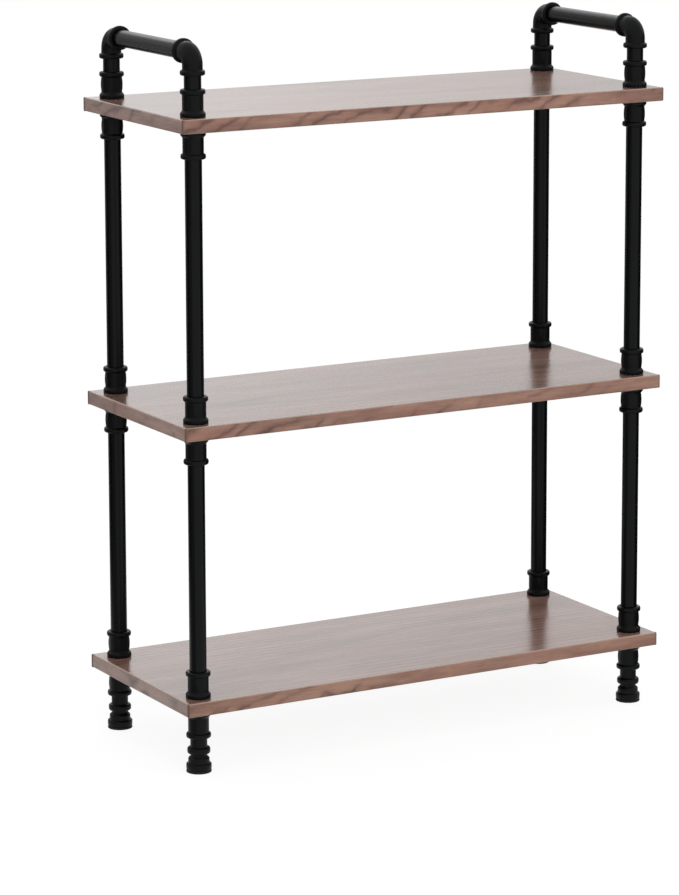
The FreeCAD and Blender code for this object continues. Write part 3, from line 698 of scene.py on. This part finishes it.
def collar_shape(castings):
    """A cast collar: rim at height nothing, barrel with its ribs, and bead at the far end."""
    start, end = COLLAR_BARREL_START, COLLAR_BARREL_END
    shares = [RIB_MARGIN + (1.0 - 2.0 * RIB_MARGIN) * number / RIB_STATIONS
              for number in range(RIB_STATIONS + 1)]
    barrel = [(COLLAR_RADIUS, start + (end - start) * share, 0) for share in shares]
    bm = bmesh.new()
    turn_outline(bm, [
        (TAPPED_RADIUS, 0.0, 0),
        (COLLAR_RIM_RADIUS, 0.0, castings.rim_round),
        (COLLAR_RIM_RADIUS, COLLAR_RIM_HEIGHT, castings.rim_round),
        (COLLAR_RADIUS, start, castings.fillet),
        *barrel,
        (COLLAR_RADIUS, end, castings.fillet),
        (COLLAR_BEAD_RADIUS, end, castings.bead_round),
        (COLLAR_BEAD_RADIUS, COLLAR_LENGTH, castings.bead_round),
        (MOUTH_RADIUS, COLLAR_LENGTH, castings.mouth_round),
        (MOUTH_RADIUS, COLLAR_LENGTH - MOUTH_DEPTH, 0),
        (TAPPED_RADIUS, COLLAR_LENGTH - MOUTH_DEPTH, 0),
    ], castings)
    raise_ribs(bm, castings)
    return bm


def ring_at(bm, radius, height):
    """The edges of a level ring of that radius and height."""
    def on_ring(vert):
        level = abs(vert.co.z - height * MM) < MERGE
        return level and abs(vert.co.xy.length - radius * MM) < MERGE
    return [edge for edge in bm.edges if all(on_ring(vert) for vert in edge.verts)]


def elbow_shape(castings):
    """A cast elbow about the crossing of its two axes: one port down, the other along +Y."""
    bead_end = ELBOW_REACH - ELBOW_BEAD_HEIGHT
    seat = ELBOW_REACH - MOUTH_DEPTH
    bend = ELBOW_BEND_RADIUS
    bm = bmesh.new()
    turn_outline(bm, [
        (ELBOW_RADIUS, -bend, 0),
        (ELBOW_RADIUS, -bead_end, castings.fillet),
        (ELBOW_BEAD_RADIUS, -bead_end, castings.bead_round),
        (ELBOW_BEAD_RADIUS, -ELBOW_REACH, castings.bead_round),
        (MOUTH_RADIUS, -ELBOW_REACH, castings.mouth_round),
        (MOUTH_RADIUS, -seat, 0),
        (TAPPED_RADIUS, -seat, 0),
        (TAPPED_RADIUS, -bend, 0),
        (ELBOW_BORE_RADIUS, -bend, 0),
    ], castings, closed=False)
    port = bm.verts[:] + bm.edges[:] + bm.faces[:]
    rings = ring_at(bm, ELBOW_RADIUS, -bend) + ring_at(bm, ELBOW_BORE_RADIUS, -bend)
    twin = bmesh.ops.duplicate(bm, geom=port)["geom"]
    # The level port is the port below, mirrored in the plane that halves the bend.
    across_bend = Matrix(((1, 0, 0, 0), (0, 0, -1, 0), (0, -1, 0, 0), (0, 0, 0, 1)))
    bmesh.ops.transform(bm, matrix=across_bend,
                        verts=[item for item in twin if isinstance(item, bmesh.types.BMVert)])
    # The bend is a quarter of a turn, so it has a quarter of a ring's steps.
    bmesh.ops.spin(bm, geom=rings, cent=(0, bend * MM, -bend * MM), axis=(-1, 0, 0),
                   angle=math.radians(90.0), steps=castings.ring_steps // 4)
    bmesh.ops.remove_doubles(bm, verts=bm.verts, dist=MERGE)
    return bm


def socket_shape(castings):
    """A foot socket: a rounded bead below, then the short tube that screws into a collar."""
    bm = bmesh.new()
    turn_outline(bm, [
        (STEM_BORE_RADIUS, 0.0, castings.mouth_round),
        (SOCKET_BEAD_RADIUS, 0.0, castings.socket_bead_round),
        (SOCKET_BEAD_RADIUS, SOCKET_BEAD_HEIGHT, castings.socket_bead_round),
        (PIPE_RADIUS, SOCKET_BEAD_HEIGHT, castings.fillet),
        (PIPE_RADIUS, SOCKET_SHOULDER, 0),
        (THREAD_RADIUS, SOCKET_SHOULDER, 0),
        (THREAD_RADIUS, SOCKET_END, 0),
        (STEM_BORE_RADIUS, SOCKET_END, 0),
    ], castings)
    return bm


def add_stem_thread(bm, castings):
    """The threaded stem over a foot's neck: one turn's outline carried up a helix, then capped."""
    foot = NECK_END - STEM_SINK
    crest = foot + STEM_PITCH / 2
    top = foot + STEM_PITCH
    steps = castings.ring_steps // STEM_COARSENESS
    outline = (
        (STEM_ROOT_RADIUS, foot),
        (STEM_ROOT_RADIUS, foot + STEM_FLAT),
        (STEM_RADIUS, crest - STEM_FLAT / 2),
        (STEM_RADIUS, crest + STEM_FLAT / 2),
        (STEM_ROOT_RADIUS, top - STEM_FLAT),
        (STEM_ROOT_RADIUS, top),
    )
    points = [bm.verts.new((radius * MM, 0.0, height * MM)) for radius, height in outline]
    edges = [bm.edges.new(pair) for pair in zip(points, points[1:])]
    for _ in range(int(STEM_TURNS * steps)):
        step = bmesh.ops.spin(bm, geom=points + edges, cent=(0, 0, 0), axis=(0, 0, 1),
                              dvec=(0, 0, STEM_PITCH * MM / steps), angle=math.tau / steps,
                              steps=1)["geom_last"]
        points = [item for item in step if isinstance(item, bmesh.types.BMVert)]
        edges = [item for item in step if isinstance(item, bmesh.types.BMEdge)]
    bmesh.ops.remove_doubles(bm, verts=bm.verts, dist=MERGE)
    bmesh.ops.holes_fill(bm, edges=[edge for edge in bm.edges if edge.is_boundary])


def foot_shape(castings):
    """A levelling foot from its underside up: wide bead, body, sloped shoulder, neck and stem."""
    soft = castings.fillet
    bm = bmesh.new()
    turn_outline(bm, [
        (0.0, PAD_HOLE_DEPTH, 0),
        (PAD_HOLE_RADIUS, PAD_HOLE_DEPTH, 0),
        (PAD_HOLE_RADIUS, 0.0, 0),
        (FOOT_BASE_RADIUS, 0.0, castings.mouth_round),
        (FOOT_BEAD_RADIUS, FOOT_BASE_SLOPE, soft),
        (FOOT_BEAD_RADIUS, FOOT_BEAD_HEIGHT, castings.bead_round),
        (FOOT_RADIUS, FOOT_BEAD_HEIGHT, castings.mouth_round / 2),
        (FOOT_RADIUS, FOOT_SHOULDER_START, soft),
        (NECK_RADIUS, FOOT_NECK_START, soft),
        (NECK_RADIUS, NECK_END, castings.mouth_round),
        (0.0, NECK_END, 0),
    ], castings, closed=False)
    add_stem_thread(bm, castings)
    return bm


def pad_shape(castings):
    """A foot pad: a rubber disc with softened edges, and the plug that holds it."""
    top = PAD_THICKNESS - PAD_TOP_GAP
    plug_end = PAD_THICKNESS + PAD_PLUG_HEIGHT
    bm = bmesh.new()
    turn_outline(bm, [
        (0.0, 0.0, 0),
        (PAD_RADIUS, 0.0, castings.mouth_round),
        (PAD_RADIUS, top, castings.fillet),
        (PAD_PLUG_RADIUS, top, 0),
        (PAD_PLUG_RADIUS, plug_end, castings.mouth_round),
        (0.0, plug_end, 0),
    ], castings, closed=False)
    return bm


def leg_axis(corner):
    """A point on the axis of a leg."""
    low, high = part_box(f"riser_{corner}")
    return (low + high) / 2


def add_to_legs(shape, kind, material, moves):
    """A copy of a shape on each leg, from its solid's foot up, on a body of its own if it moves."""
    for corner in CORNERS:
        node = f"{kind}_{corner}"
        axis = leg_axis(corner)
        place = Matrix.Translation((axis.x, axis.y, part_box(node)[0].z))
        add_piece(shape, place, node, node if moves else "frame", material)
    shape.free()


class SHELVING_OT_collars(bpy.types.Operator):
    """Model the cast collars over and under every board"""

    bl_idname = "shelving.collars"
    bl_label = "Collars"

    def execute(self, context):
        coat = cast_coat_material(context.scene.shelving_coat)
        shape = collar_shape(context.scene.shelving_castings)
        for shelf in SHELVES:
            for number, corner in enumerate(CORNERS):
                # The ribs on one pair of legs stand square to those on the other pair.
                turn = COLLAR_RIB_TURN - 90.0 * (number % 2)
                for side, way in (("above", 1), ("below", -1)):
                    node = f"collar_{side}_{shelf}_shelf_{corner}"
                    low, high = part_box(node)
                    face = low.z if way > 0 else high.z
                    axis = leg_axis(corner)
                    place = (Matrix.Translation((axis.x, axis.y, face))
                             @ Matrix.Rotation(math.radians(turn), 4, "Z")
                             @ Matrix.Scale(way, 4, (0, 0, 1)))
                    add_piece(shape, place, node, "frame", coat)
        shape.free()
        return {"FINISHED"}


class SHELVING_OT_elbows(bpy.types.Operator):
    """Model the cast elbows that carry the handrails"""

    bl_idname = "shelving.elbows"
    bl_label = "Elbows"

    def execute(self, context):
        coat = cast_coat_material(context.scene.shelving_coat)
        shape = elbow_shape(context.scene.shelving_castings)
        low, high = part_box("handrail_left")
        rail_height = (low.z + high.z) / 2
        for corner in CORNERS:
            axis = leg_axis(corner)
            turn = math.radians(180.0) if axis.y > 0 else 0.0
            place = (Matrix.Translation((axis.x, axis.y, rail_height))
                     @ Matrix.Rotation(turn, 4, "Z"))
            add_piece(shape, place, f"elbow_{corner}", "frame", coat)
        shape.free()
        return {"FINISHED"}


class SHELVING_OT_foot_sockets(bpy.types.Operator):
    """Model the beaded sockets that the levelling feet screw into"""

    bl_idname = "shelving.foot_sockets"
    bl_label = "Foot sockets"

    def execute(self, context):
        coat = cast_coat_material(context.scene.shelving_coat)
        shape = socket_shape(context.scene.shelving_castings)
        add_to_legs(shape, "foot_socket", coat, moves=False)
        return {"FINISHED"}


class SHELVING_OT_levelling_feet(bpy.types.Operator):
    """Model the levelling feet with their threaded stems"""

    bl_idname = "shelving.levelling_feet"
    bl_label = "Levelling feet"

    def execute(self, context):
        coat = cast_coat_material(context.scene.shelving_coat)
        shape = foot_shape(context.scene.shelving_castings)
        add_to_legs(shape, "levelling_foot", coat, moves=True)
        return {"FINISHED"}


class SHELVING_OT_foot_pads(bpy.types.Operator):
    """Model the rubber pads under the levelling feet"""

    bl_idname = "shelving.foot_pads"
    bl_label = "Foot pads"

    def execute(self, context):
        rubber = rubber_material(context.scene.shelving_coat)
        shape = pad_shape(context.scene.shelving_castings)
        add_to_legs(shape, "foot_pad", rubber, moves=True)
        return {"FINISHED"}


class SHELVING_OT_boards(bpy.types.Operator):
    """Give the boards their laminate"""

    bl_idname = "shelving.boards"
    bl_label = "Boards"

    def execute(self, context):
        laminate = laminate_material(context.scene.shelving_walnut)
        for shelf in SHELVES:
            dress(f"shelf_board_{shelf}", laminate)
        return {"FINISHED"}


class SHELVING_OT_edge_bands(bpy.types.Operator):
    """Give the edge bands their print, with its grain along each strip"""

    bl_idname = "shelving.edge_bands"
    bl_label = "Edge bands"

    def execute(self, context):
        walnut = context.scene.shelving_walnut
        long_tones = (walnut.band_light, walnut.band_middle, walnut.band_dark)
        # The ends take a greyer, paler copy of the band tones: painted reflection and light on the
        # end faces.
        end_sheen_tones = (walnut.end_sheen_light, walnut.end_sheen_middle, walnut.end_sheen_dark)
        for node, axis, offset, tones in (
                ("long_edge_bands", "X", LONG_BAND_OFFSET, long_tones),
                ("end_edge_bands", "Y", END_BAND_OFFSET, end_sheen_tones)):
            dress(node, band_material(walnut, node, axis, offset, tones))
        return {"FINISHED"}


class SHELVING_OT_pipes(bpy.types.Operator):
    """Give the posts, risers and handrails their powder coat"""

    bl_idname = "shelving.pipes"
    bl_label = "Pipes"

    def execute(self, context):
        coat = context.scene.shelving_coat
        upright = pipe_coat_material(coat, "powder_coat_on_upright_pipe",
                                     (1.0, 1.0, DRAW_LINE_STRETCH))
        level = pipe_coat_material(coat, "powder_coat_on_level_pipe",
                                   (1.0, DRAW_LINE_STRETCH, 1.0))
        for corner in CORNERS:
            for pipe in ("lower_post", "upper_post", "riser"):
                dress(f"{pipe}_{corner}", upright)
        for side in ("left", "right"):
            dress(f"handrail_{side}", level)
        return {"FINISHED"}


class SHELVING_OT_studs(bpy.types.Operator):
    """Give the studs through the boards their zinc plating"""

    bl_idname = "shelving.studs"
    bl_label = "Through studs"

    def execute(self, context):
        dress("through_studs", zinc_material(context.scene.shelving_coat))
        return {"FINISHED"}


def seen_directly(tree):
    """A socket that is one where a camera, gloss or glass looks, and nothing in soft light."""
    path = add_node(tree, "ShaderNodeLightPath").outputs
    seen = path["Is Camera Ray"]
    for ray in ("Is Glossy Ray", "Is Transmission Ray"):
        seen = add_node(tree, "ShaderNodeMath", {0: seen, 1: path[ray]},
                        operation="MAXIMUM").outputs[0]
    return seen


def light_world(studio):
    """Even light for the unit, and plain white where the room is looked at or mirrored."""
    world = bpy.data.worlds.new("studio")
    bpy.context.scene.world = world
    tree = empty_tree(world)
    strength = add_node(tree, "ShaderNodeMapRange", {
        "Value": seen_directly(tree), "To Min": studio.ambient, "To Max": 1.0}).outputs["Result"]
    room = add_node(tree, "ShaderNodeBackground", {
        "Color": WHITE, "Strength": strength}).outputs["Background"]
    add_node(tree, "ShaderNodeOutputWorld", {"Surface": room})


def floor_material(studio):
    """Matt grey studio paint under a white glow, which fades into the white of the room.

    The eye gets a white floor that takes soft faint shadows. It shows from above only, so
    the unit can be seen from below.
    """
    material = bpy.data.materials.new("matt_studio_floor_paint")
    tree = empty_tree(material)
    seen = seen_directly(tree)
    glow = add_node(tree, "ShaderNodeMapRange", {
        "Value": seen, "To Max": studio.glow}).outputs["Result"]
    glow = add_node(tree, "ShaderNodeEmission", {
        "Color": WHITE, "Strength": glow}).outputs["Emission"]
    paint = add_node(tree, "ShaderNodeMix", {
        "Factor": seen, "A": (*studio.floor, 1.0), "B": (*studio.floor_seen, 1.0)},
        data_type="RGBA").outputs["Result"]
    paint = add_node(tree, "ShaderNodeBsdfDiffuse", {"Color": paint}).outputs["BSDF"]
    surface = add_node(tree, "ShaderNodeAddShader", {0: paint, 1: glow}).outputs["Shader"]
    place = add_node(tree, "ShaderNodeTexCoord").outputs["Object"]
    out = add_node(tree, "ShaderNodeVectorMath", {0: place}, operation="LENGTH").outputs["Value"]
    fade = add_node(tree, "ShaderNodeMapRange", {
        "Value": out, "From Min": studio.floor_radius * FADE_START,
        "From Max": studio.floor_radius * FADE_END},
        interpolation_type="SMOOTHSTEP").outputs["Result"]
    below = add_node(tree, "ShaderNodeNewGeometry").outputs["Backfacing"]
    fade = add_node(tree, "ShaderNodeMath", {0: fade, 1: below}, operation="MAXIMUM").outputs[0]
    clear = add_node(tree, "ShaderNodeBsdfTransparent").outputs["BSDF"]
    faded = add_node(tree, "ShaderNodeMixShader", {0: fade, 1: surface, 2: clear}).outputs["Shader"]
    add_node(tree, "ShaderNodeOutputMaterial", {"Surface": faded})
    return material


def net_material(kind, passed):
    """Black studio net, which lets that share of the light behind it through."""
    material = bpy.data.materials.new(f"{kind}_studio_net")
    tree = empty_tree(material)
    net = add_node(tree, "ShaderNodeBsdfTransparent", {
        "Color": (passed, passed, passed, 1.0)}).outputs["BSDF"]
    add_node(tree, "ShaderNodeOutputMaterial", {"Surface": net})
    return material


def add_floor(studio):
    """The round floor under the unit."""
    bm = bmesh.new()
    bmesh.ops.create_circle(bm, cap_ends=True, radius=studio.floor_radius, segments=FLOOR_SIDES,
                            matrix=Matrix.Translation((0.0, 0.0, -FLOOR_GAP * MM)))
    add_object("studio_floor", bm, floor_material(studio))


def add_softbox(studio, setting, place, target, size, mirrored, spread):
    """A soft rectangular lamp aimed at a point; it need not show in mirrored light."""
    lamp = bpy.data.lights.new(f"{setting}_softbox", "AREA")
    lamp.shape = "RECTANGLE"
    lamp.size, lamp.size_y = size
    lamp.energy = getattr(studio, setting)
    lamp.spread = math.radians(spread)
    softbox = bpy.data.objects.new(lamp.name, lamp)
    softbox.location = place
    softbox.rotation_euler = (Vector(target) - Vector(place)).to_track_quat("-Z", "Y").to_euler()
    softbox.visible_camera = False
    softbox.visible_glossy = mirrored
    bpy.context.scene.collection.objects.link(softbox)


def add_flag(material, side, begin, end, mat_start):
    """A curved screen of net and a mat before it that only gloss sees: they edge black metal."""
    start = Vector((math.sin(CAMERA_HEADING), math.cos(CAMERA_HEADING), 0.0))
    start.rotate(Matrix.Rotation(-side * math.radians(begin), 3, "Z"))
    bm = bmesh.new()
    for points in (((mat_start, 0.0), (MAT_END, 0.0)),
                   ((SCREEN_RADIUS, SCREEN_LOW), (SCREEN_RADIUS, SCREEN_HIGH))):
        pair = [bm.verts.new(start * radius * MM + Vector((0.0, 0.0, height * MM)))
                for radius, height in points]
        bmesh.ops.spin(bm, geom=[*pair, bm.edges.new(pair)], cent=(0, 0, 0), axis=(0, 0, -side),
                       angle=math.radians(end - begin), steps=SCREEN_STEPS)
    flag = add_object("flag", bm, material)
    flag.visible_camera = False
    flag.visible_diffuse = False
    flag.visible_shadow = False


def add_camera():
    """The camera that the scene is seen through."""
    camera = bpy.data.cameras.new("camera")
    camera.sensor_width = CAMERA_SENSOR
    camera.lens = CAMERA_LENS
    camera.shift_x, camera.shift_y = CAMERA_SHIFT
    view = bpy.data.objects.new("camera", camera)
    view.location = CAMERA_PLACE
    view.rotation_euler = (CAMERA_TILT, 0.0, -CAMERA_HEADING)
    bpy.context.scene.collection.objects.link(view)
    bpy.context.scene.camera = view


class SHELVING_OT_studio(bpy.types.Operator):
    """Set the floor, the lamps and the camera round the unit"""

    bl_idname = "shelving.studio"
    bl_label = "Studio"

    def execute(self, context):
        studio = context.scene.shelving_studio
        context.scene.view_settings.view_transform = "Standard"
        light_world(studio)
        add_floor(studio)
        for softbox in SOFTBOXES:
            add_softbox(studio, *softbox)
        nets = {kind: net_material(kind, passed) for kind, passed in NET_SHARES.items()}
        for kind, *span in FLAGS:
            add_flag(nets[kind], *span)
        add_camera()
        return {"FINISHED"}


OPERATORS = (
    SHELVING_OT_collars,
    SHELVING_OT_elbows,
    SHELVING_OT_foot_sockets,
    SHELVING_OT_levelling_feet,
    SHELVING_OT_foot_pads,
    SHELVING_OT_boards,
    SHELVING_OT_edge_bands,
    SHELVING_OT_pipes,
    SHELVING_OT_studs,
    SHELVING_OT_studio,
)
SETTINGS = (
    ("shelving_castings", CastingSizes),
    ("shelving_walnut", WalnutFinish),
    ("shelving_coat", CoatFinish),
    ("shelving_studio", StudioSetup),
)


class SHELVING_PT_panel(bpy.types.Panel):
    """The settings and the steps that dress the unit"""

    bl_idname = "SHELVING_PT_panel"
    bl_label = "Pipe shelving unit"
    bl_space_type = "VIEW_3D"
    bl_region_type = "UI"
    bl_category = "Shelving"

    def draw(self, context):
        for name, group in SETTINGS:
            box = self.layout.box()
            for setting in group.__annotations__:
                box.prop(getattr(context.scene, name), setting)
        for operator in OPERATORS:
            self.layout.operator(operator.bl_idname)


def register():
    for name, group in SETTINGS:
        bpy.utils.register_class(group)
        setattr(bpy.types.Scene, name, PointerProperty(type=group))
    for operator in OPERATORS:
        bpy.utils.register_class(operator)
    bpy.utils.register_class(SHELVING_PT_panel)


def unregister():
    bpy.utils.unregister_class(SHELVING_PT_panel)
    for operator in reversed(OPERATORS):
        bpy.utils.unregister_class(operator)
    for name, group in reversed(SETTINGS):
        delattr(bpy.types.Scene, name)
        bpy.utils.unregister_class(group)


def main():
    register()
    bpy.ops.shelving.collars()
    bpy.ops.shelving.elbows()
    bpy.ops.shelving.foot_sockets()
    bpy.ops.shelving.levelling_feet()
    bpy.ops.shelving.foot_pads()
    bpy.ops.shelving.boards()
    bpy.ops.shelving.edge_bands()
    bpy.ops.shelving.pipes()
    bpy.ops.shelving.studs()
    bpy.ops.shelving.studio()


if __name__ == "__main__":
    main()
